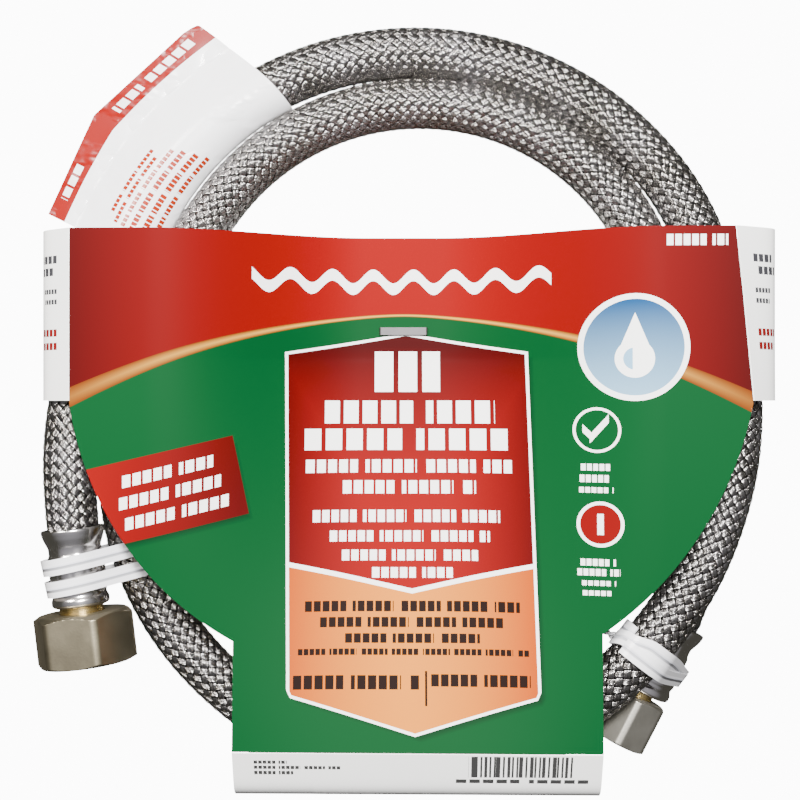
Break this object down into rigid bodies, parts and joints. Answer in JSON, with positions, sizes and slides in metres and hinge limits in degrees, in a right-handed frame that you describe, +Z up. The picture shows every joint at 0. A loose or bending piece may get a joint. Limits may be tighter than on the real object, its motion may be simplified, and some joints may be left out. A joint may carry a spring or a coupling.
{
  "type": "braided water supply line",
  "caption": "Coiled braided steel supply hose with crimped ends and two swivel hex nuts, tied in a printed card sleeve with its adapters and elbow.",
  "frame": {"origin": "under the middle of the pack, on the surface that its back card lies on", "axes": "+Z up along the coil's axis, +Y towards the sleeve's top edge, the inlet end points towards -Y"},
  "size_m": [0.2479, 0.2618, 0.0401],
  "materials": {
    "braid_steel": "bundles of fine stainless wire in a diamond weave",
    "liner_rubber": "smooth black rubber",
    "ferrule_steel": "polished stainless with crimp marks",
    "stem_brass": "turned brass",
    "nut_plated_brass": "satin nickel over brass",
    "fitting_brass": "turned brass",
    "seal_rubber": "black moulded rubber",
    "ring_plastic": "plain nylon",
    "tie_plastic": "ribbed white plastic over wire",
    "tag_film": "glossy white film with an orange stripe",
    "card_board": "printed and varnished board",
    "staple_steel": "plain steel wire"
  },
  "bodies": {
    "root": {"hose_liner": "liner_rubber", "hose_braid": "braid_steel", "inlet_ferrule": "ferrule_steel", "inlet_stem": "stem_brass", "inlet_washer": "seal_rubber", "outlet_ferrule": "ferrule_steel", "outlet_stem": "stem_brass", "outlet_seal": "seal_rubber", "left_tie": "tie_plastic", "right_tie": "tie_plastic", "hose_tag": "tag_film", "card_front": "card_board", "card_back": "card_board", "card_left_side": "card_board", "card_right_side": "card_board", "card_bottom_flap": "card_board", "card_staple": "staple_steel", "elbow": "fitting_brass", "adapter_small": "fitting_brass", "adapter_small_washer": "seal_rubber", "adapter_medium": "fitting_brass", "adapter_medium_washer": "seal_rubber", "adapter_large": "fitting_brass", "adapter_large_washer": "seal_rubber"},
    "inlet_ring": {"inlet_thrust_ring": "ring_plastic"},
    "inlet_swivel": {"inlet_nut": "nut_plated_brass"},
    "outlet_ring": {"outlet_thrust_ring": "ring_plastic"},
    "outlet_swivel": {"outlet_nut": "nut_plated_brass"}
  },
  "joints": [
    {"name": "inlet_nut_slide", "type": "slide", "parent": "root", "child": "inlet_ring", "axis": [-0.1166, 0.9932, 0], "range_m": [0, 0.0017]},
    {"name": "inlet_nut_spin", "type": "hinge", "parent": "inlet_ring", "child": "inlet_swivel", "pos_m": [-0.10563, -0.07689, 0.0242], "axis": [0.1166, -0.9932, 0], "continuous": true},
    {"name": "outlet_nut_slide", "type": "slide", "parent": "root", "child": "outlet_ring", "axis": [0.4565, 0.8897, 0], "range_m": [0, 0.0017]},
    {"name": "outlet_nut_spin", "type": "hinge", "parent": "outlet_ring", "child": "outlet_swivel", "pos_m": [0.0762, -0.10644, 0.0115], "axis": [-0.4565, -0.8897, 0], "continuous": true}
  ]
}
